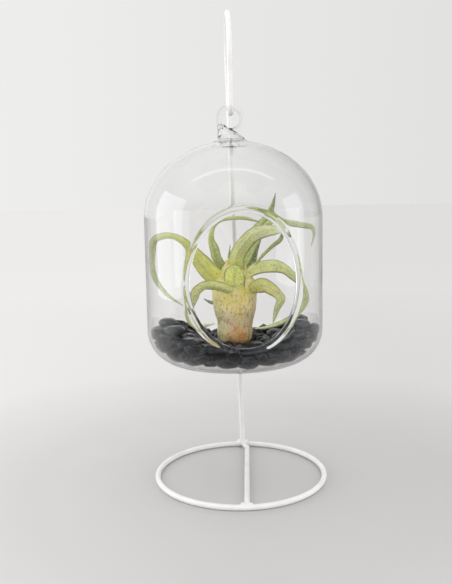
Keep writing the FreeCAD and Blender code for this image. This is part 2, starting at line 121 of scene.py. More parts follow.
# Glass eye
eye_x = -3.0
eye_radius = 6.75
eye_rod_radius = 1.65
eye_rod_sides = 24
eye_stem_height = 11.8
eye_stem_sides = 40
eye_hollow_sides = 48
eye_start = math.radians(236.0)
eye_turn = math.radians(322.0)
eye_z = globe_top_z + eye_stem_height
eye_voxel = 0.22
eye_smoothing = 30
# Each section of the stem: centre's offset and radius as shares of the eye's radius, and its drop as a share
# of the stem's height.
eye_stem_shares = [
    (0.00, 1.62, 1.10), (0.00, 1.40, 1.03), (0.00, 1.22, 0.97), (0.00, 1.12, 0.88),
    (-0.20, 0.92, 0.71), (-0.58, 0.55, 0.50), (-0.84, 0.30, 0.26),
]
# The air that is drawn up into the stem, in the same shares
eye_hollow_shares = [
    (0.00, 1.62, 1.42), (0.00, 1.45, 1.22), (0.00, 1.14, 1.08), (0.00, 0.94, 0.94),
    (-0.16, 0.66, 0.76), (-0.45, 0.34, 0.58), (-0.62, 0.10, 0.46),
]

# Plant
plant_base_z = corners_of("plant_bulb")[0][2]
plant_height = 89.5
bulb_radius = 12.7
bulb_tint = (214, 160, 104)
bulb_tint_share = 0.2
bulb_top_share = 0.58
bulb_core_share = 0.985
bulb_levels = 70
bulb_sides = 72
sheath_columns = 36
sheath_rows = 30
sheath_taper = 0.28
sheath_ragged_share = 0.012
sheath_sink = 0.4
# How far a sheath lifts at an edge, as a share of its stand, and how fast that grows away from the edge
sheath_side_ease = (0.25, 3.5)
sheath_foot_ease = (0.3, 5)
sheath_top_ease = (0.2, 4)
leaf_thickness = 1.1
leaf_steps = 72
leaf_course_share = 0.01  # of the route, over which its direction is taken
leaf_waves = 9
leaf_ripples = 7
leaf_spans = 12
leaf_tip_half = 0.12
leaf_edge_share = 0.15
leaf_cup_share = 0.30
leaf_ripple_share = 0.10
leaf_groove_share = 0.10
leaf_groove_reach = 0.12
leaf_wave_share = 0.05

# Stones: how sharp their edges are, how far they swell past their CAD solids, and how far they keep off glass
pebble_nodes = [
    "pebble_centre", "pebbles_inner", "pebbles_outer", "pebbles_upper", "pebbles_wall", "pebbles_bank",
]
stone_crispness = 17
stone_growth = 1.06
stone_clearance = 0.15
stone_rounding = 0.03
stone_detail = 4
stone_least_depth = 0.5
stone_sampling = 6
stone_unevenness = (6.5, 0.06)

# The bed's surface: a bowl that is banked up at the sides and a little in front
bed_depth = 12.5
bed_side_start = 16
bed_side_width = 24
bed_side_rise = 10.5
bed_side_power = 1.3
bed_front_reach = 30
bed_front_rise = 4.0

# Stones that fill the bed between those of the CAD model
fill_seed = 5
fill_tries = 20000
fill_height = 26
fill_small = 4.2
fill_large = 7.4
fill_closeness = 0.63
fill_flattening = 1.5
fill_wall_share = 0.62
fill_top_share = 0.55
fill_bulb_share = 0.8
fill_under_share = 0.6
fill_axis_shares = [(0.95, 1.2), (0.75, 0.95), (0.55, 0.72)]
fill_turn = 6.3
fill_tilt = 0.35
fill_flats = 15
fill_scatter = 0.16
fill_flat_shares = (0.86, 1.0)
golden_angle = 2.39996

# Table: how far it reaches, and at which distances from the middle of the stand its tones change. The tones
# are painted light: darker near the stand and paler far off.
table_reach = 9000.0
table_near = 130
table_behind = 270
table_far = 900
near_colour = (208, 206, 205)
behind_colour = (223, 221, 220)
far_colour = (234, 233, 232)
mirrored_colour = (30, 30, 30)
mirrored_share = 0.95
# Painted shade: the table's tone is multiplied by this share on the right, darkening it there.
table_right_shade_share = 0.885

# Light
room_dim = 0.10
room_soft = 1.15
room_seen_left = 0.86
room_seen_right = 0.76
room_bright = 0.88
room_above = 0.99
room_right_share = 0.3  # the room is dimmer on the right
room_colour = (1.0, 0.995, 0.99, 1.0)
daylight = (0.94, 0.98, 1.0)
# Lamps: name, place, width and height, place aimed at, and watts
lamps = [
    ("window_left", (-620, -25, 260), (530, 460), (0, -25, 260), 0.98),
    ("window_right", (620, -105, 250), (330, 440), (0, -105, 250), 0.5),
    ("ceiling", (0, -120, 950), (1300, 50), (0, 0, 0), 0.32),
]

# Camera: a little above the middle of the glass, tipped down and slightly rolled
camera_place = (-7.3, -426.1, 172.4)
camera_pitch = math.radians(7.78)
camera_roll = math.radians(-1.0)
camera_lens = 44.38


def colour(red, green, blue):
    """A colour read as screen values from 0 to 255, as the linear colour that shaders take."""
    parts = [value / 255 for value in (red, green, blue)]
    return [value / 12.92 if value < 0.04 else ((value + 0.055) / 1.055) ** 2.4 for value in parts] + [1.0]


# Mesh helpers

def placed(name, data):
    """A new object in the scene."""
    made = bpy.data.objects.new(name, data)
    bpy.context.scene.collection.objects.link(made)
    return made


def add_mesh(name, points, faces, material):
    """A mesh object from points in millimetres."""
    mesh = bpy.data.meshes.new(name)
    mesh.from_pydata([tuple(np.asarray(point) / metre) for point in points], [], faces)
    mesh.materials.append(material)
    mesh.update()
    mesh.shade_smooth()
    return placed(name, mesh)


def ring_faces(rings, sides, closed=False):
    """Quads between rings of points, with a cap on each end unless the rings close on themselves."""
    faces = []
    for ring in range(rings if closed else rings - 1):
        near, far = ring * sides, (ring + 1) % rings * sides
        for side in range(sides):
            beside = (side + 1) % sides
            faces.append((near + side, near + beside, far + beside, far + side))
    if not closed:
        faces.append(tuple(reversed(range(sides))))
        faces.append(tuple((rings - 1) * sides + side for side in range(sides)))
    return faces


def gathered(shapes):
    """The points and faces of several shapes as those of one."""
    points, faces = [], []
    for own_points, own_faces in shapes:
        faces += [tuple(len(points) + corner for corner in face) for face in own_faces]
        points += own_points
    return points, faces


def full_turn(count):
    """Angles evenly round a full turn."""
    return [2 * math.pi * k / count for k in range(count)]


def round_place(centre, angle, reach):
    """A place round an upright axis, at the height of its centre."""
    return centre + reach * np.array([math.cos(angle), math.sin(angle), 0])


def unit(vector):
    return vector / np.linalg.norm(vector)


def sweep(places, radii, reference, sides=28, closed=False):
    """Points and faces of a round bar along places."""
    places = np.array(places, float)
    points = []
    count = len(places)
    for step, place in enumerate(places):
        ahead = places[(step + 1) % count] if closed or step + 1 < count else place
        behind = places[step - 1] if closed or step > 0 else place
        along = unit(ahead - behind)
        across = unit(reference - along * reference.dot(along))
        beside = np.cross(along, across)
        for angle in full_turn(sides):
            points.append(place + radii[step] * (across * math.cos(angle) + beside * math.sin(angle)))
    return points, ring_faces(count, sides, closed)


def uneven(place, size, amount):
    """A smooth random share around 1, by the place and the size of the unevenness."""
    return 1 + amount * noise.noise(Vector(place) / size)


def dress(piece, body, slot_name, *nodes):
    """Hangs a piece on its body, and lets it stand for its CAD nodes."""
    if nodes:
        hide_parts(*nodes)
    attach(piece, body)


# Materials

class Nodes:
    """Short ways to add the nodes of a node tree and to link them."""

    def __init__(self, tree):
        self.tree = tree

    def put(self, socket, value):
        """Sets a socket to a constant, or links another socket to it."""
        if isinstance(value, bpy.types.NodeSocket):
            self.tree.links.new(value, socket)
        elif value is not None:
            socket.default_value = value

    def add(self, kind, *values, **settings):
        """A new node whose inputs are set or linked in order; None leaves one as it is."""
        node = self.tree.nodes.new("ShaderNode" + kind)
        for name, setting in settings.items():
            setattr(node, name, setting)
        for socket, value in zip(node.inputs, values):
            self.put(socket, value)
        return node

    def steps(self, value, low, high, low_result=0.0, high_result=1.0):
        return self.add("MapRange", value, low, high, low_result, high_result).outputs["Result"]

    def between(self, value, low, high, low_result=0.0, high_result=1.0):
        """A change from one result to another between two places in millimetres."""
        return self.steps(value, low / metre, high / metre, low_result, high_result)

    def mix(self, share, first, second, kind="MIX"):
        unused = [None] * 5
        return self.add("Mix", share, *unused, first, second, data_type="RGBA", blend_type=kind).outputs[2]

    def layered(self, base, layers):
        """A colour with others laid over it in turn, each by its share."""
        result = colour(*base)
        for share, tone in layers:
            result = self.mix(share, result, colour(*tone))
        return result

    def chosen(self, switch, first, second):
        """The first number where the switch is 0, the second where it is 1."""
        return self.add("Mix", switch, None, first, second).outputs[0]

    def math(self, kind, first, second=0.0):
        return self.add("Math", first, second, operation=kind).outputs[0]

    def parts(self, vector):
        return self.add("SeparateXYZ", vector).outputs


class Shading(Nodes):
    """A material with one Principled shader, and short ways to add the patterns that feed it."""

    def __init__(self, name):
        self.material = bpy.data.materials.new(name)
        self.material.use_nodes = True
        super().__init__(self.material.node_tree)
        self.shader = self.tree.nodes["Principled BSDF"]
        self.place = self.add("TexCoord").outputs["Object"]

    def set(self, **values):
        for name, value in values.items():
            self.put(self.shader.inputs[name.replace("_", " ")], value)

    def noise(self, size, detail=3.0, roughness=0.5, place=None):
        """Noise whose features are about size millimetres across."""
        return self.add("TexNoise", place or self.place, None, metre / size, detail, roughness).outputs["Fac"]

    def drawn_up(self, share):
        """Places whose height counts only by a share, for grain that runs upwards."""
        return self.add("Mapping", self.place, None, None, (1.0, 1.0, share)).outputs[0]

    def bump(self, height, depth):
        """Raises the surface by up to depth millimetres."""
        node = self.add("Bump")
        node.inputs["Distance"].default_value = depth / metre
        self.put(node.inputs["Height"], height)
        self.set(Normal=node.outputs["Normal"])


def wire_paint():
    """Satin white paint over bent wire: faint mottling, orange peel and a little grey where it is handled."""
    paint = Shading("white_paint")
    mottle = paint.noise(9.0, 4.0)
    paint.set(Base_Color=paint.layered((249, 248, 247), [
        (paint.steps(mottle, 0.35, 0.7), (240, 239, 238)),
        (paint.steps(paint.noise(1.6, 6.0, 0.7), 0.66, 0.74, 0.0, 0.35), (168, 166, 162)),
    ]))
    paint.set(Roughness=paint.steps(mottle, 0.3, 0.7, 0.28, 0.42), Coat_Weight=0.25, Coat_Roughness=0.2)
    paint.bump(paint.noise(1.1, 2.0), 0.03)
    return paint.material


def clear_glass():
    """Clear glass with the least trace of green, which lets lamps through to what it holds."""
    glass = Shading("clear_glass")
    glass.set(Base_Color=(0.997, 1.0, 0.998, 1.0), Transmission_Weight=1.0, IOR=1.47)
    glass.set(Roughness=glass.steps(glass.noise(14.0, 2.0), 0.3, 0.8, 0.0, 0.012))
    glass.bump(glass.noise(16.0, 1.0), 0.05)
    shadow = glass.add("LightPath").outputs["Is Shadow Ray"]
    through = glass.add("BsdfTransparent", (0.93, 0.95, 0.94, 1.0))
    both = glass.add("MixShader", shadow, glass.shader.outputs[0], through.outputs[0])
    glass.put(glass.tree.nodes["Material Output"].inputs["Surface"], both.outputs[0])
    return glass.material


def pebble_stone():
    """Polished black stone: blue-grey clouds, a painted highlight along its edges, pits with pale dust, and
    an uneven polish.
    """
    stone = Shading("pebble_stone")
    edges = stone.add("NewGeometry").outputs["Pointiness"]
    stone.set(Base_Color=stone.layered((6, 7, 8), [
        (stone.steps(stone.noise(6.0, 5.0), 0.40, 0.66), (30, 32, 37)),
        # Painted highlight: the stones' edges, found by their pointiness, are lightened as if they caught the
        # light.
        (stone.steps(edges, 0.520, 0.545, 0.0, 0.5), (86, 90, 96)),
        (stone.steps(stone.noise(0.8, 5.0, 0.75), 0.62, 0.72, 0.0, 0.25), (132, 138, 146)),
    ]))
    stone.set(Roughness=stone.steps(stone.noise(2.5, 4.0), 0.35, 0.65, 0.10, 0.30), Specular_IOR_Level=0.2)
    stone.bump(stone.noise(1.1, 5.0, 0.62), 0.16)
    return stone.material


def leaf_skin(name, base, middle, tip):
    """Air plant leaf: colours that change from base to tip, painted shade along its edges, silvery scurf and
    darker pores.
    """
    skin = Shading(name)
    along, across, unused = skin.parts(skin.add("UVMap", uv_map="along").outputs[0])
    from_middle = skin.math("ABSOLUTE", skin.math("SUBTRACT", across, 0.5))
    scurf = skin.steps(skin.noise(0.75, 2.0, 0.7), 0.44, 0.60)
    skin.set(Base_Color=skin.layered(base, [
        (skin.steps(along, 0.0, 0.45), middle),
        (skin.steps(along, 0.45, 1.0), tip),
        (skin.steps(skin.noise(5.0, 3.0), 0.35, 0.75, 0.0, 0.4), (132, 140, 74)),
        (skin.steps(from_middle, 0.10, 0.0, 0.0, 0.3), (120, 130, 60)),
        (skin.math("MULTIPLY", scurf, 0.6), (232, 234, 206)),
        (skin.steps(skin.noise(0.6, 1.0, 0.5), 0.60, 0.70, 0.0, 0.6), (84, 94, 36)),
        # Painted shade: the leaf darkens towards its edges.
        (skin.steps(from_middle, 0.38, 0.49, 0.0, 0.65), (96, 102, 46)),
    ]))
    skin.set(Roughness=0.6, Sheen_Weight=0.2, Sheen_Roughness=0.5)
    skin.set(Subsurface_Weight=0.1, Subsurface_Scale=0.0015)
    skin.bump(scurf, 0.06)
    return skin.material


def bulb_skin(name, tint, share):
    """The bulb's sheaths: orange at the foot, cream and yellow above and green at the top, olive on the left
    with painted shade there, a pale patch beside it, all with lengthwise grain, pale freckles and brown wear."""
    skin = Shading(name)
    x, y, z = skin.parts(skin.place)
    wander = skin.math("MULTIPLY", skin.math("SUBTRACT", skin.noise(7.0, 3.0), 0.5), 0.016)
    height = skin.math("SUBTRACT", skin.math("ADD", z, wander), plant_base_z / metre)
    right = skin.math("SUBTRACT", skin.math("ADD", x, wander), globe_x / metre)
    band = skin.math("MULTIPLY", skin.between(right, -9, -6), skin.between(right, -3, -1, 1.0, 0.0))
    level = skin.math("MULTIPLY", skin.between(height, 9, 12), skin.between(height, 20, 24, 0.8, 0.0))
    grain = skin.steps(skin.noise(1.3, 4.0, 0.65, skin.drawn_up(0.35)), 0.52, 0.64, 0.0, 0.6)
    freckles = skin.steps(skin.noise(0.8, 2.0, 0.7), 0.46, 0.60)
    skin.set(Base_Color=skin.layered((180, 94, 36), [
        (skin.between(height, -2, 6), (255, 170, 76)),
        (skin.between(height, 10, 16), (255, 230, 172)),
        (skin.between(height, 17, 22), (255, 232, 124)),
        # Olive tone on the bulb's left, which also paints shade on that side.
        (skin.between(right, -10, -6, 0.75, 0.0), (190, 180, 108)),
        (skin.math("MULTIPLY", band, level), (252, 234, 216)),
        (skin.between(right, 6, 10, 0.0, 0.6), (228, 206, 178)),
        (share, tint),
        (skin.between(height, 27, 34), (222, 212, 94)),
        (skin.steps(skin.noise(4.5, 3.0, 0.6), 0.40, 0.62, 0.0, 0.5), (255, 240, 196)),
        (skin.math("MULTIPLY", grain, skin.between(height, 30, 37, 1.0, 0.3)), (172, 116, 54)),
        (skin.math("MULTIPLY", freckles, 0.5), (255, 244, 206)),
        (skin.steps(skin.noise(0.7, 1.0, 0.5), 0.62, 0.72, 0.0, 0.55), (112, 70, 34)),
        (skin.steps(skin.noise(3.2, 4.0, 0.6, skin.drawn_up(0.6)), 0.60, 0.67, 0.0, 0.5), (128, 92, 44)),
    ]))
    skin.set(Roughness=0.58, Subsurface_Weight=0.1, Subsurface_Scale=0.002)
    skin.bump(skin.math("SUBTRACT", freckles, grain), 0.12)
    return skin.material


# Stand

def arc_places(centre, start, axis, turn):
    """Places on an arc from start round the axis through centre."""
    spoke = start - centre
    steps = max(2, math.ceil(math.degrees(turn) / bar_bend_degrees))
    return [
        centre + spoke * math.cos(turn * k / steps) + np.cross(axis, spoke) * math.sin(turn * k / steps)
        for k in range(steps + 1)
    ]


def straight_places(start, end):
    """Evenly spaced places between two others, without these."""
    count = max(1, int(np.linalg.norm(end - start) / bar_spacing))
    return [start + (end - start) * k / count for k in range(1, count)]


def bent_places(points, bends):
    """Places along a bent wire, with an arc of the given radius at each inner point."""
    points = [np.array(point, float) for point in points]
    places = [points[0]]
    for before, corner, after, bend in zip(points, points[1:], points[2:], bends):
        ahead, onward = unit(corner - before), unit(after - corner)
        axis = unit(np.cross(ahead, onward))
        turn = math.acos(ahead.dot(onward))
        start = corner - ahead * bend * math.tan(turn / 2)
        places += straight_places(places[-1], start)
        places += arc_places(start + np.cross(axis, ahead) * bend, start, axis, turn)
    places += straight_places(places[-1], points[-1])
    return places + [points[-1]]


def rounded_off(places, radius):
    """Adds the places and radii of a rounded end to a bar."""
    radii = [radius] * len(places)
    along = unit(places[-1] - places[-2])
    end = places[-1]
    for k in range(1, bar_end_rings + 1):
        angle = math.pi / 2 * k / bar_end_quarter
        places.append(end + along * radius * bar_end_share * math.sin(angle))
        radii.append(radius * math.cos(angle))
    return places, radii


def bar(name, places, radii, unevenness, reference, paint, node, closed=False):
    """A painted bar of the stand, a little uneven."""
    radii = [radius * min(1.0, uneven(place, *unevenness)) for place, radius in zip(places, radii)]
    points, faces = sweep(places, radii, np.array(reference), closed=closed)
    dress(add_mesh(name, points, faces, paint), "stand", "white_wire", node)


def ring_wire(paint):
    """The ring base."""
    places = [round_place(np.array([0, 0, wire_radius]), turn, ring_radius) for turn in full_turn(ring_steps)]
    radii = [wire_radius] * ring_steps
    bar("ring_wire", places, radii, ring_unevenness, (0.0, 0.0, 1.0), paint, "base_ring", closed=True)


def post_bar(paint):
    """Strut, post, crook and hook, bent from one wire."""
    hook_z = stand_height - hook_drop
    post_foot_y = ring_radius - post_foot_inset
    top = stand_height - wire_radius
    back_y = post_foot_y + post_lean_back
    hook_front_y = globe_y - hook_bend - hook_flat / 2
    hook_tip_y = globe_y + hook_bend + hook_flat / 2
    points = [
        (strut_front_x, -ring_radius, wire_radius),
        (strut_rear_x, post_foot_y - strut_kink_setback, wire_radius),
        (post_foot_x, post_foot_y, wire_radius),
        (post_foot_x - post_lean_left, back_y, top),
        (eye_x, hook_front_y, top),
        (eye_x, hook_front_y, hook_z),
        (eye_x, hook_tip_y, hook_z),
        (eye_x, hook_tip_y, hook_z + hook_tip_rise),
    ]
    crook_bend = (back_y - hook_front_y - crook_flat) / 2
    bends = [strut_kink_bend, post_foot_bend, crook_bend, crook_bend, hook_bend, hook_bend]
    places, radii = rounded_off(bent_places(points, bends), wire_radius)
    bar("post_bar", places, radii, bar_unevenness, (1.0, 0.0, 0.0), paint, "post_wire")


def weld_beads(name, place, paint, node):
    """Lumpy beads of weld under the paint, one on each side of the wire."""
    beads = []
    for side in (-1, 1):
        middle = np.array(place) + (side * weld_bead_offset, 0, 0)
        points = []
        for ring in range(1, weld_bead_rings):
            tilt = math.pi * ring / weld_bead_rings
            for turn in full_turn(weld_bead_sides):
                way = round_place(np.array([0, 0, -math.cos(tilt)]), turn, math.sin(tilt))
                reach = weld_bead_radius * uneven(way * 2 + side, *weld_unevenness)
                point = middle + way * reach
                point[2] = max(point[2], table_clearance)
                points.append(point)
        beads.append((points, ring_faces(weld_bead_rings - 1, weld_bead_sides)))
    dress(add_mesh(name, *gathered(beads), paint), "stand", "white_wire", node)


# Glass

def arc_rows(middle_radius, middle_z, wide, tall, turns):
    """Rows of an outline along part of an ellipse: radius, height and outward normal."""
    rows = []
    for turn in turns:
        normal = unit(np.array([math.cos(turn) / wide, math.sin(turn) / tall]))
        rows.append((middle_radius + wide * math.cos(turn), middle_z + tall * math.sin(turn), *normal))
    return rows


def cloche_profile():
    """The cloche's outline from the middle of its foot to its top: radius, height and outward normal."""
    rise = globe_shoulder_z - globe_corner_z
    quarter = math.pi / 2
    corner_turns = [quarter * (k / corner_steps - 1) for k in range(corner_steps)]
    dome_turns = [quarter * k / dome_steps for k in range(dome_steps + 1)]
    rows = [(globe_flat_radius * k / foot_steps, globe_bottom_z, 0.0, -1.0) for k in range(foot_steps)]
    corner = globe_corner_radius
    rows += arc_rows(globe_flat_radius, globe_corner_z, corner, corner, corner_turns)
    rows += [(globe_radius, globe_corner_z + rise * k / wall_steps, 1.0, 0.0) for k in range(wall_steps)]
    rows += arc_rows(0.0, globe_shoulder_z, globe_radius, globe_dome_height, dome_turns)
    return np.array(rows)


def rim_place(turn):
    """A point on the egg-shaped opening's edge, in the middle of the wall."""
    across = opening_half_width * math.cos(turn)
    reach = opening_rise if math.sin(turn) > 0 else opening_drop
    height = globe_bottom_z + opening_centre_height + reach * math.sin(turn)
    above = max(0, height - globe_shoulder_z) / (globe_dome_height - globe_wall / 2)
    wall = (globe_radius - globe_wall / 2) * math.sqrt(1 - above**2)
    forward = -math.sqrt(wall**2 - across**2)
    cos_turn, sin_turn = math.cos(opening_turn), math.sin(opening_turn)
    return np.array([across * cos_turn - forward * sin_turn, across * sin_turn + forward * cos_turn, height])


def wall_column(places, normals):
    """The wall's points from the back along its outside, round the rim's bead, and back along its inside."""
    bead = rim_diameter / 2
    away = np.cumsum([0] + [np.linalg.norm(b - a) for a, b in zip(places, places[1:])])
    halves = globe_wall / 2 + (bead - globe_wall / 2) * np.exp(-((away / rim_blend) ** 2))
    into = unit(places[1] - places[0])
    outer = [place + normal * half for place, normal, half in zip(places, normals, halves)]
    inner = [place - normal * half for place, normal, half in zip(places, normals, halves)]
    turns = [math.pi * k / rim_steps for k in range(1, rim_steps)]
    cap = [places[0] + bead * (normals[0] * math.cos(turn) - into * math.sin(turn)) for turn in turns]
    return outer[::-1] + cap + inner


def glass_shell(glass):
    """The cloche's wall as one closed skin. Its grid fans out from the opening to a point at the back, along
    rays from a centre inside."""
    rows = cloche_profile()
    centre_z = globe_bottom_z + shell_centre_height
    angles = np.arctan2(rows[:, 1] - centre_z, rows[:, 0])

    def wall_at(way):
        """Middle of the wall and its outward normal along a ray."""
        flat = math.hypot(way[0], way[1])
        angle = math.atan2(way[2], flat)
        radius, height, out, rise = (np.interp(angle, angles, rows[:, column]) for column in range(4))
        side = way[:2] / max(flat, 1e-9)
        normal = unit(np.append(side * out, rise))
        return np.append(side * radius, height) - normal * globe_wall / 2, normal

    slope = (opening_centre_height - shell_centre_height) / globe_radius
    towards = unit(np.array([math.sin(opening_turn), -math.cos(opening_turn), slope]))
    levels = []
    for turn in full_turn(shell_columns):
        edge = rim_place(turn)
        way = unit(edge - np.array([0, 0, centre_z]))
        start = math.acos(way.dot(towards))
        side = unit(way - towards * way.dot(towards))
        places, normals = [], []
        for row in range(shell_rows + 1):
            angle = start + (math.pi - start) * (row / shell_rows) ** shell_crowding
            place, normal = wall_at(towards * math.cos(angle) + side * math.sin(angle))
            places.append(place)
            normals.append(normal)
        levels.append(wall_column(places, normals))
    axis = np.array([globe_x, globe_y, 0])
    count = len(levels[0])
    points = [column[level] + axis for level in range(1, count - 1) for column in levels]
    faces = [face for face in ring_faces(count - 2, shell_columns) if len(face) == 4]
    first, last = len(points), len(points) + 1
    points += [levels[0][0] + axis, levels[0][-1] + axis]
    end = (count - 3) * shell_columns
    for column in range(shell_columns):
        beside = (column + 1) % shell_columns
        faces.append((beside, column, first))
        faces.append((end + column, end + beside, last))
    return add_mesh("glass_cloche", points, faces, glass)


def settled(made):
    """Turns an object's modifiers into plain mesh."""
    shape = bpy.data.meshes.new_from_object(made.evaluated_get(bpy.context.evaluated_depsgraph_get()))
    made.modifiers.clear()
    made.data = shape
    shape.shade_smooth()


def combined(made, other, operation):
    """Unites an object with another or cuts the other out of it, and removes the other."""
    change = made.modifiers.new("change", "BOOLEAN")
    change.operation = operation
    change.solver = "EXACT"
    change.object = other
    settled(made)
    bpy.data.objects.remove(other)


def remeshed(made):
    """Melts an object's overlapping parts into one smooth skin."""
    melt = made.modifiers.new("melt", "REMESH")
    melt.mode = "VOXEL"
    melt.voxel_size = eye_voxel / metre
    calm = made.modifiers.new("calm", "SMOOTH")
    calm.factor = 0.5
    calm.iterations = eye_smoothing
    settled(made)


def tapered(sections, sides):
    """Points and faces of an upright form of round sections, given in shares of the eye."""
    points = []
    for offset_share, radius_share, drop_share in sections:
        middle = np.array([eye_x + offset_share * eye_radius, globe_y, eye_z - drop_share * eye_stem_height])
        points += [round_place(middle, turn, radius_share * eye_radius) for turn in full_turn(sides)]
    return points, ring_faces(len(sections), sides)


def glass_eye(glass):
    """A clear rod drawn out of a flared foot on the dome, curled round and melted back onto the foot."""
    centre = np.array([eye_x, globe_y, eye_z])
    start = centre + eye_radius * np.array([math.cos(eye_start), 0, math.sin(eye_start)])
    curl = arc_places(centre, start, np.array([0.0, -1.0, 0.0]), eye_turn)
    rod = sweep(*rounded_off(curl, eye_rod_radius), np.array([0.0, 1.0, 0.0]), eye_rod_sides)
    made = add_mesh("glass_eye", *gathered([rod, tapered(eye_stem_shares, eye_stem_sides)]), glass)
    remeshed(made)
    return made


def glass_cloche(glass):
    """The cloche with its hollow eye melted on, so that no skin of air lies between them."""
    shell = glass_shell(glass)
    combined(shell, glass_eye(glass), "UNION")
    combined(shell, add_mesh("blown", *tapered(eye_hollow_shares, eye_hollow_sides), glass), "DIFFERENCE")
    dress(shell, "globe", "clear_glass", "glass_globe", "hanging_eye")


# Pebbles

def islands(mesh):
    """Of each separate solid of a mesh, its centre and its faces' centres and normals, in millimetres."""
    places = np.array([vertex.co for vertex in mesh.vertices]) * metre
    keys, index = np.unique(np.round(places, 3), axis=0, return_inverse=True)
    faces = [face for face in mesh.polygons if face.area > 0]
    corners = [index.ravel()[list(face.vertices)] for face in faces]
    owner, before = np.arange(len(keys)), None
    while before is None or (owner != before).any():
        before = owner.copy()
        for corner in corners:
            owner[corner] = owner[corner].min()
    owners = np.array([owner[corner[0]] for corner in corners])
    centres, normals = (np.array([getattr(face, kind) for face in faces]) for kind in ("center", "normal"))
    return [
        (keys[owner == key].mean(axis=0), centres[owners == key] * metre, normals[owners == key])
        for key in np.unique(owners)
    ]


def ball():
    """Directions and triangles of a fine ball."""
    shape = bmesh.new()
    bmesh.ops.create_icosphere(shape, subdivisions=stone_detail, radius=1.0)
    shape.verts.index_update()
    ways = np.array([vertex.co for vertex in shape.verts])
    triangles = [tuple(vertex.index for vertex in face.verts) for face in shape.faces]
    shape.free()
    return ways, triangles


def past_glass(place):
    """How far a point lies beyond the inside of the cloche, below 0 within it, and the way outwards there."""
    x, y, z = place[0] - globe_x, place[1] - globe_y, place[2]
    out = max(math.hypot(x, y), stone_clearance)
    if z > globe_corner_z:
        return out - inner_radius, np.array([x / out, y / out, 0.0])
    if out > globe_flat_radius:
        away = max(math.hypot(out - globe_flat_radius, z - globe_corner_z), stone_clearance)
        side = (out - globe_flat_radius) / away
        outward = np.array([x / out * side, y / out * side, (z - globe_corner_z) / away])
        return away - (globe_corner_radius - globe_wall), outward
    return globe_bottom_z + globe_wall - z, np.array([0.0, 0.0, -1.0])


def kept_in_glass(point, centre):
    """The point of a stone, moved inwards where it lies beyond the inside of the cloche. It moves further the
    more it lies to the side of the stone's centre, so a stone that leans on glass keeps a rounded face."""
    beyond, outward = past_glass(point)
    offset = point - centre
    aside = offset @ offset - (offset @ outward) ** 2
    return point - outward * max(0.0, beyond + stone_clearance + stone_rounding * aside)


def stone_points(ways, centre, normals, depths):
    """A stone bounded by worn flats, with rounded edges and a slightly uneven skin."""
    press = np.clip(ways @ normals.T, 0, None) / np.maximum(depths, stone_least_depth)
    reach = (press**stone_crispness).sum(axis=1) ** (-1 / stone_crispness)
    points = []
    for way, length in zip(ways, reach):
        skin = stone_growth * uneven(centre + way * stone_sampling, *stone_unevenness)
        points.append(kept_in_glass(centre + way * length * skin, centre))
    return points


def add_stones(name, shapes, material, *nodes):
    """One piece of loose stones, each given by its centre and its flats' normals and depths."""
    ways, triangles = ball()
    points, faces = gathered([(stone_points(ways, *shape), triangles) for shape in shapes])
    dress(add_mesh(name, points, faces, material), "globe", "black_pebbles", *nodes)


def stones(node, material):
    """The stones of a CAD node, each in the place of its faceted solid. Returns their centres."""
    shapes = [
        (centre, normals, np.einsum("ij,ij->i", places - centre, normals))
        for centre, places, normals in islands(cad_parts[node].data)
    ]
    add_stones("stones_" + node.split("_")[1], shapes, material, node)
    return [centre for centre, normals, depths in shapes]


def bed_top(place):
    """Height of the bed's surface."""
    x, y = place[0] - globe_x, place[1] - globe_y
    side = min(1.0, max(0.0, (abs(x) - bed_side_start) / bed_side_width))
    front = min(1.0, max(0.0, -y / bed_front_reach))
    bank = bed_side_rise * side**bed_side_power
    return globe_bottom_z + bed_depth + bank + bed_front_rise * front * (1 - side)


def random_stone(chance, place, size):
    """A stone of random form: its centre, and its flats' normals and depths."""
    axes = size * np.array([chance.uniform(*shares) for shares in fill_axis_shares])
    spun = Matrix.Rotation(chance.uniform(0, fill_turn), 3, "Z")
    turn = np.array(spun @ Matrix.Rotation(chance.uniform(-fill_tilt, fill_tilt), 3, "X"))
    flats = np.arange(fill_flats) + 0.5
    rise = 1 - 2 * flats / fill_flats
    around = flats * golden_angle + chance.uniform(0, fill_turn)
    level = np.sqrt(1 - rise**2)
    ways = np.column_stack([level * np.cos(around), level * np.sin(around), rise])
    ways += chance.normal(scale=fill_scatter, size=ways.shape)
    ways /= np.linalg.norm(ways, axis=1)[:, None]
    depths = chance.uniform(*fill_flat_shares, fill_flats)
    pulled = ways / axes
    lengths = np.linalg.norm(pulled, axis=1)
    return place, (pulled / lengths[:, None]) @ turn.T, depths / lengths


def filling_stones(material, centres):
    """Smaller stones in the gaps that the larger ones leave, as in the photograph's dense bed."""
    chance = np.random.default_rng(fill_seed)
    places = np.array(centres)
    reaches = np.full(len(centres), fill_large)
    shapes = []
    for _ in range(fill_tries):
        size = chance.uniform(fill_small, fill_large)
        place = np.array([
            globe_x + chance.uniform(-1, 1) * inner_radius, globe_y + chance.uniform(-1, 1) * inner_radius,
            globe_bottom_z + chance.uniform(0, fill_height),
        ])
        outside = past_glass(place)[0] >= -size * fill_wall_share
        if outside or place[2] + size * fill_top_share > bed_top(place):
            continue
        near_bulb = (bulb_radius + size) * fill_bulb_share
        from_axis = math.hypot(place[0] - globe_x, place[1] - globe_y)
        if from_axis < near_bulb and place[2] + size * fill_under_share > plant_base_z:
            continue
        apart = np.linalg.norm((places - place) * (1, 1, fill_flattening), axis=1)
        if (apart < fill_closeness * (reaches + size)).any():
            continue
        places = np.vstack([places, place])
        reaches = np.append(reaches, size)
        shapes.append(random_stone(chance, place, size))
    add_stones("stones_filling", shapes, material)


# Plant

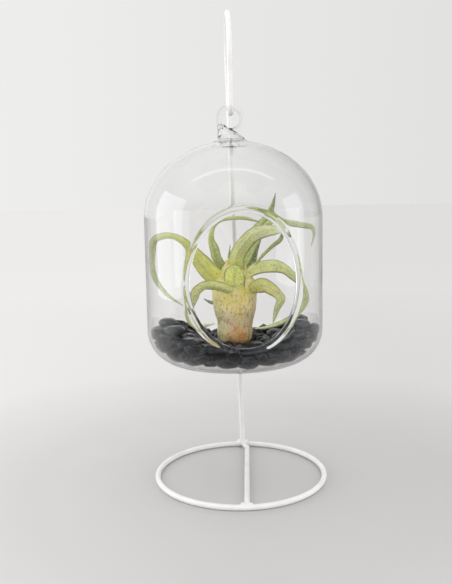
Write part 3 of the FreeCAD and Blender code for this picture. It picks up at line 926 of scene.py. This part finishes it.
# Leaves: colours at base, middle and tip, and the route between them: way to the right and to the back in
# hundredths of the glass's inside radius, height in thousandths of the plant's, and half width in thousandths
# of that radius
leaves = {
    "left_long": (((255, 255, 98), (215, 221, 104), (184, 198, 134)), [
        (-14, -4, 433, 117), (-28, -8, 485, 123), (-37, -12, 549, 110), (-45, -16, 616, 76),
        (-53, -20, 678, 54), (-62, -22, 719, 43), (-71, -22, 738, 36), (-80, -22, 738, 41),
        (-89, -18, 718, 44), (-93, -14, 683, 45), (-94, -10, 626, 38), (-95, -10, 568, 33),
        (-93, -16, 503, 35), (-88, -22, 445, 28), (-79, -30, 387, 21), (-71, -38, 354, 15),
        (-57, -48, 312, 5),
    ]),
    "right_broad": (((242, 247, 112), (186, 188, 98), (240, 247, 195)), [
        (2, -8, 482, 96), (2, -14, 531, 98), (3, -22, 599, 89), (8, -29, 656, 88), (17, -36, 720, 85),
        (26, -42, 756, 80), (38, -48, 772, 65), (47, -52, 771, 45), (52, -56, 761, 11),
    ]),
    "right_long": (((253, 253, 158), (193, 204, 112), (206, 220, 149)), [
        (14, -8, 475, 55), (25, -12, 517, 73), (37, -16, 533, 75), (49, -18, 534, 75), (59, -20, 512, 57),
        (67, -20, 473, 51), (75, -20, 431, 42), (80, -20, 379, 45), (82, -20, 320, 49), (79, -22, 279, 49),
        (71, -28, 233, 42), (61, -36, 202, 33), (47, -44, 178, 27), (33, -50, 165, 18), (22, -54, 166, 6),
    ]),
    "left_low": (((230, 230, 112), (187, 191, 108), (228, 232, 184)), [
        (4, -18, 377, 49), (-4, -26, 383, 54), (-15, -32, 410, 60), (-25, -38, 427, 62),
        (-34, -44, 429, 56), (-42, -48, 401, 56), (-45, -50, 363, 53), (-48, -50, 318, 41),
        (-52, -50, 272, 35), (-51, -50, 232, 33), (-48, -50, 199, 29), (-42, -50, 184, 25),
        (-33, -48, 184, 18), (-23, -44, 192, 6),
    ]),
    "right_low": (((214, 208, 44), (196, 190, 98), (191, 206, 138)), [
        (18, -18, 384, 53), (26, -24, 409, 82), (34, -32, 420, 79), (42, -38, 399, 67), (49, -42, 366, 55),
        (52, -44, 333, 53), (48, -42, 280, 38), (45, -40, 222, 21), (43, -38, 183, 4),
    ]),
    "top_spike": (((189, 198, 108), (166, 178, 93), (149, 160, 108)), [
        (7, 8, 512, 62), (15, 16, 628, 69), (27, 22, 746, 69), (42, 24, 830, 64), (44, 24, 869, 40),
        (48, 22, 927, 24), (51, 18, 1000, 4),
    ]),
    "left_inner": (((127, 138, 44), (210, 220, 127), (176, 189, 98)), [
        (-7, -2, 478, 31), (-10, -3, 505, 43), (-20, -6, 579, 59), (-23, -9, 647, 57), (-26, -12, 705, 40),
        (-25, -16, 763, 28), (-21, -18, 808, 25), (-13, -18, 836, 23), (0, -16, 845, 22),
        (12, -12, 844, 22), (21, -8, 831, 17), (31, -2, 815, 4),
    ]),
    "right_top": (((176, 191, 87), (191, 202, 120), (204, 208, 160)), [
        (11, 4, 527, 50), (22, 10, 644, 50), (34, 16, 747, 44), (44, 18, 807, 38), (52, 18, 825, 34),
        (61, 18, 807, 38), (74, 16, 795, 40), (87, 14, 782, 35), (93, 10, 774, 31), (96, 6, 747, 26),
        (95, 2, 708, 15), (91, -2, 650, 4),
    ]),
    "right_thin": (((228, 235, 127), (158, 168, 81), (132, 140, 85)), [
        (18, -6, 467, 12), (24, -10, 534, 15), (31, -16, 589, 18), (37, -22, 629, 20), (44, -30, 670, 23),
        (51, -38, 705, 26), (53, -44, 734, 20), (53, -46, 751, 7),
    ]),
    "back_short": (((108, 125, 46), (81, 100, 42), (120, 134, 79)), [
        (14, 6, 500, 25), (21, 10, 554, 51), (25, 14, 613, 41), (29, 18, 656, 25), (33, 20, 686, 4),
    ]),
    "back_spike": (((142, 154, 64), (108, 120, 64), (103, 112, 77)), [
        (-7, 4, 487, 25), (-6, 8, 567, 17), (-5, 12, 614, 11), (-4, 14, 662, 4),
    ]),
    "front_short": (((236, 230, 112), (216, 220, 66), (206, 210, 84)), [
        (2, -22, 374, 98), (0, -25, 434, 122), (0, -26, 486, 124), (2, -25, 520, 92), (4, -24, 540, 20),
    ]),
    "back_curl": (((184, 184, 134), (158, 160, 134), (118, 123, 112)), [
        (-15, 16, 345, 32), (-21, 20, 291, 31), (-26, 24, 266, 27), (-31, 26, 272, 18), (-37, 27, 291, 4),
    ]),
}
# How far a leaf's broad side turns from facing the front, as a share of a quarter turn
leaf_turn_share = 0.2
leaf_turn_shares = {"right_broad": 0.15, "right_low": 0.15, "front_short": 0.1}


def spline(rows, share):
    """A smooth curve through rows of numbers, by a share from 0 to 1."""
    place = share * (len(rows) - 1)
    low = min(int(place), len(rows) - 2)
    t = place - low
    before, start, end, after = (rows[min(max(low + k, 0), len(rows) - 1)] for k in (-1, 0, 1, 2))
    return 0.5 * (
        2 * start + (end - before) * t + (2 * before - 5 * start + 4 * end - after) * t**2
        + (3 * start - before - 3 * end + after) * t**3
    )


def blade(name, colours, route):
    """A channelled leaf along its route, thin at its edges and drawn out to a point."""
    right, back, height, half_width = np.array(route).T / [[100], [100], [1000], [1000]]
    places = np.column_stack([
        globe_x + right * inner_radius,
        globe_y + back * inner_radius,
        plant_base_z + height * plant_height,
        half_width * inner_radius,
    ])
    turn = leaf_turn_shares.get(name, leaf_turn_share) * math.pi / 2
    node = "leaf_" + name
    mark = len(node)  # so that most leaves differ
    sides = 2 * leaf_spans
    points, along_map = [], []
    for step in range(leaf_steps + 1):
        share = step / leaf_steps
        here = spline(places, share)
        ahead = spline(places, min(1, share + leaf_course_share))
        behind = spline(places, max(0, share - leaf_course_share))
        along = unit(ahead[:3] - behind[:3])
        edge_on = unit(np.array([0, 1, 0]) - along * along[1])
        across = np.cross(along, edge_on) * math.cos(turn) + edge_on * math.sin(turn)
        normal = np.cross(across, along)
        half = max(here[3], leaf_tip_half)
        half *= uneven((share * leaf_waves, mark, 0), 1.0, leaf_wave_share)
        thick = min(leaf_thickness, half) / 2
        ripple = leaf_ripple_share * half * noise.noise(Vector((share * leaf_ripples, mark * 1.7, 3)))
        for side in range(sides):
            place = min(side, sides - side)
            reach = -1 + 2 * place / leaf_spans
            face = 0 if side in (0, leaf_spans) else (1 if side < leaf_spans else -1)
            body = math.sqrt(1 - reach**2) * (1 - leaf_edge_share) + leaf_edge_share
            groove = leaf_groove_share * half * math.exp(-((reach / leaf_groove_reach) ** 2))
            rise = half * leaf_cup_share * reach**2 + ripple * reach + face * thick * body - groove
            points.append(here[:3] + across * half * reach + normal * rise)
            along_map.append((share, 0.5 + 0.5 * reach))
    skin = leaf_skin("skin_" + name, *colours)
    made = add_mesh("blade_" + name, points, ring_faces(leaf_steps + 1, sides), skin)
    layer = made.data.uv_layers.new(name="along")
    for loop in made.data.loops:
        layer.data[loop.index].uv = along_map[loop.vertex_index]
    dress(made, "plant", "plant_leaves", node)


# The bulb's radius at each share of the plant's height, as a share of its largest radius
bulb_outline_shares = [
    (0.40, 0.000), (0.62, 0.015), (0.75, 0.045), (0.80, 0.090), (0.77, 0.137), (0.82, 0.180), (0.93, 0.242),
    (0.98, 0.315), (1.00, 0.394), (0.92, 0.442), (0.68, 0.495), (0.50, 0.545), (0.28, 0.580),
]
# Furrows: depth as a share of the radius, how many go round, and how far they twist
furrow_shares = [(0.012, 3, 4), (0.006, 11, 9)]
# Sheaths that wrap the bulb: name, first and last bearing in degrees from the right and through the back,
# lowest and highest share of the plant's height, how far each stands out, tint and share of the tint
sheath_shares = [
    ("sheath_front", 215, 335, 0.02, 0.46, 0.45, (255, 190, 113), 0.15),
    ("sheath_left", 150, 238, 0.16, 0.43, 0.85, (210, 203, 131), 0.7),
    ("sheath_left_low", 165, 250, 0.01, 0.19, 0.60, (233, 231, 158), 0.75),
    ("sheath_right", 318, 400, 0.10, 0.45, 0.80, (221, 199, 158), 0.65),
    ("sheath_right_low", 300, 372, 0.01, 0.14, 0.50, (242, 194, 113), 0.5),
    ("sheath_back", 40, 160, 0.03, 0.45, 0.60, (221, 208, 131), 0.6),
]


def bulb_reach(height_share, bearing):
    """The bulb's radius at a height and bearing, with shallow furrows between its sheaths."""
    radii, heights = zip(*bulb_outline_shares)
    reach = np.interp(height_share, heights, radii) * bulb_radius
    surface = bulb_core_share
    for depth, count, twist in furrow_shares:
        surface += depth * math.sin(count * bearing + twist * height_share)
    return reach * surface


def bulb_place(height_share, bearing, stand=0.0):
    """A place on the bulb, or above its surface by a stand."""
    middle = np.array([globe_x, globe_y, plant_base_z + height_share * plant_height])
    return round_place(middle, bearing, bulb_reach(height_share, bearing) + stand)


def bulb_core(skin):
    """The bulb under its outer sheaths."""
    points = []
    for level in range(bulb_levels + 1):
        height = bulb_top_share * level / bulb_levels
        points += [bulb_place(height, bearing) for bearing in full_turn(bulb_sides)]
    made = add_mesh("bulb_core", points, ring_faces(bulb_levels + 1, bulb_sides), skin)
    dress(made, "plant", "plant_bulb", "plant_bulb")


def eased(distance, edge, growth):
    """A share that starts at its value on an edge and grows to 1 away from it."""
    return min(1, edge + distance * growth)


def sheath(name, first, last, low, high, stand, skin):
    """A thin scale that hugs the bulb and lifts a little at its edges: an outside, an inside and a border."""
    points = []
    for outside in (True, False):
        for row in range(sheath_rows + 1):
            share = row / sheath_rows
            narrow = 1 - sheath_taper * (1 - share) ** 2
            lift = stand * min(eased(share, *sheath_foot_ease), eased(1 - share, *sheath_top_ease))
            for column in range(sheath_columns + 1):
                place = column / sheath_columns
                bearing = math.radians(first + (last - first) * (0.5 + (place - 0.5) * narrow))
                ragged = sheath_ragged_share * noise.noise(Vector((bearing * 3, first * 0.1, 0)))
                height = low + (high - low) * share + ragged * (1 - share)
                hug = lift * eased(min(place, 1 - place) * 2, *sheath_side_ease)
                points.append(bulb_place(height, bearing, hug if outside else -sheath_sink))
    inner = len(points) // 2
    corners = np.arange(inner).reshape(sheath_rows + 1, -1).tolist()
    faces = []
    for near, far in zip(corners, corners[1:]):
        for a, b, c, d in zip(near, near[1:], far[1:], far):
            faces.append((a, b, c, d))
            faces.append((a + inner, d + inner, c + inner, b + inner))
    border = corners[0][:-1] + [row[-1] for row in corners[:-1]]
    border += corners[-1][:0:-1] + [row[0] for row in corners[:0:-1]]
    for here, then in zip(border, border[1:] + border[:1]):
        faces.append((then, here, here + inner, then + inner))
    dress(add_mesh(name, points, faces, skin), "plant", "plant_bulb")


# Stage

def stage():
    """A pale table under the object, which turns paler behind it as the photograph's does. Its tones are
    painted light, darker near the stand and paler far off, and painted shade darkens it towards the right.
    Glass doesn't mirror the part in front, where the photograph's room is dim."""
    card = Shading("pale_card")
    x, y, z = card.parts(card.place)
    away = card.math("SQRT", card.math("ADD", card.math("MULTIPLY", x, x), card.math("MULTIPLY", y, y)))
    # Painted light: the table is darker near the stand and paler far off.
    toned = card.layered(near_colour, [
        (card.between(away, table_near, table_behind), behind_colour),
        (card.between(away, table_behind, table_far), far_colour),
    ])
    # Painted shade: the table darkens towards the right.
    shaded = card.mix(1.0, toned, card.between(x, -100, 160, 1.0, table_right_shade_share), "MULTIPLY")
    bounces = card.add("LightPath").outputs["Glossy Depth"]
    mirrored = card.math("MULTIPLY", bounces, card.between(y, -180, -50, mirrored_share, 0.0))
    mirrored = card.math("MINIMUM", mirrored, mirrored_share)
    card.set(Base_Color=card.mix(mirrored, shaded, colour(*mirrored_colour)))
    card.set(Roughness=card.steps(card.noise(40.0), 0.3, 0.7, 0.3, 0.4))
    card.set(Specular_IOR_Level=card.between(away, 100, 220, 0.2, 0.0))
    square = [(-1, -1, 0), (1, -1, 0), (1, 1, 0), (-1, 1, 0)]
    add_mesh("backdrop", np.array(square) * table_reach, [(0, 1, 2, 3)], card.material)


def window(name, place, size, aim, watts):
    """A soft rectangular lamp, placed and aimed in millimetres."""
    lamp = bpy.data.lights.new(name, "AREA")
    lamp.shape = "RECTANGLE"
    lamp.size, lamp.size_y = size[0] / metre, size[1] / metre
    lamp.energy = watts
    lamp.color = daylight
    made = placed(name, lamp)
    made.location = Vector(place) / metre
    made.rotation_euler = (Vector(aim) - Vector(place)).to_track_quat("-Z", "Y").to_euler()


def lights():
    """Windows on both sides and a strip above, in a room that is bright behind and above. What glass mirrors
    of it is dim towards the camera; what is seen of it directly is a plain pale wall."""
    world = bpy.data.worlds.new("room")
    world.use_nodes = True
    room = Nodes(world.node_tree)
    background = room.tree.nodes["Background"]
    x, y, z = room.parts(room.add("TexCoord").outputs["Generated"])
    rays = room.add("LightPath").outputs
    bounces = rays["Glossy Depth"]
    above = room.steps(z, 0.15, 0.75, 0.0, room_above)
    soft = room.math("MAXIMUM", room.steps(y, -0.5, 0.5, room_soft, room_bright), above)
    mirrored = room.math("MAXIMUM", room.steps(y, -0.35, 0.6, room_dim, room_bright), above)
    mirrored = room.math("MULTIPLY", mirrored, room.steps(x, 0.0, 0.7, 1.0, room_right_share))
    seen = room.steps(x, -0.3, 0.3, room_seen_left, room_seen_right)
    lit = room.chosen(bounces, soft, mirrored)
    direct = room.math("MAXIMUM", rays["Is Camera Ray"], rays["Is Transmission Ray"])
    direct = room.math("GREATER_THAN", direct, bounces)
    room.put(background.inputs["Color"], room_colour)
    room.put(background.inputs["Strength"], room.chosen(direct, lit, seen))
    bpy.context.scene.world = world
    for lamp in lamps:
        window(*lamp)


def camera():
    """The photograph's viewpoint."""
    lens = bpy.data.cameras.new("camera")
    lens.lens = camera_lens
    made = placed("camera", lens)
    tipped = Matrix.Rotation(math.pi / 2 - camera_pitch, 4, "X") @ Matrix.Rotation(camera_roll, 4, "Z")
    made.matrix_world = Matrix.Translation(Vector(camera_place) / metre) @ tipped
    bpy.context.scene.camera = made


def main():
    paint = wire_paint()
    glass = clear_glass()
    stone = pebble_stone()
    ring_wire(paint)
    post_bar(paint)
    inner_edge = ring_radius - wire_radius
    weld_beads("weld_front", (strut_front_x, -inner_edge, wire_radius), paint, "front_weld")
    weld_beads("weld_rear", (post_foot_x, inner_edge, 2 * wire_radius), paint, "rear_weld")
    glass_cloche(glass)
    centres = []
    for node in pebble_nodes:
        centres += stones(node, stone)
    filling_stones(stone, centres)
    bulb_core(bulb_skin("bulb_skin", bulb_tint, bulb_tint_share))
    for name, first, last, low, high, stand, tint, share in sheath_shares:
        sheath(name, first, last, low, high, stand, bulb_skin(name + "_skin", tint, share))
    for name, (colours, route) in leaves.items():
        blade(name, colours, route)
    stage()
    lights()
    camera()
    bpy.context.scene.view_settings.view_transform = "Standard"


main()
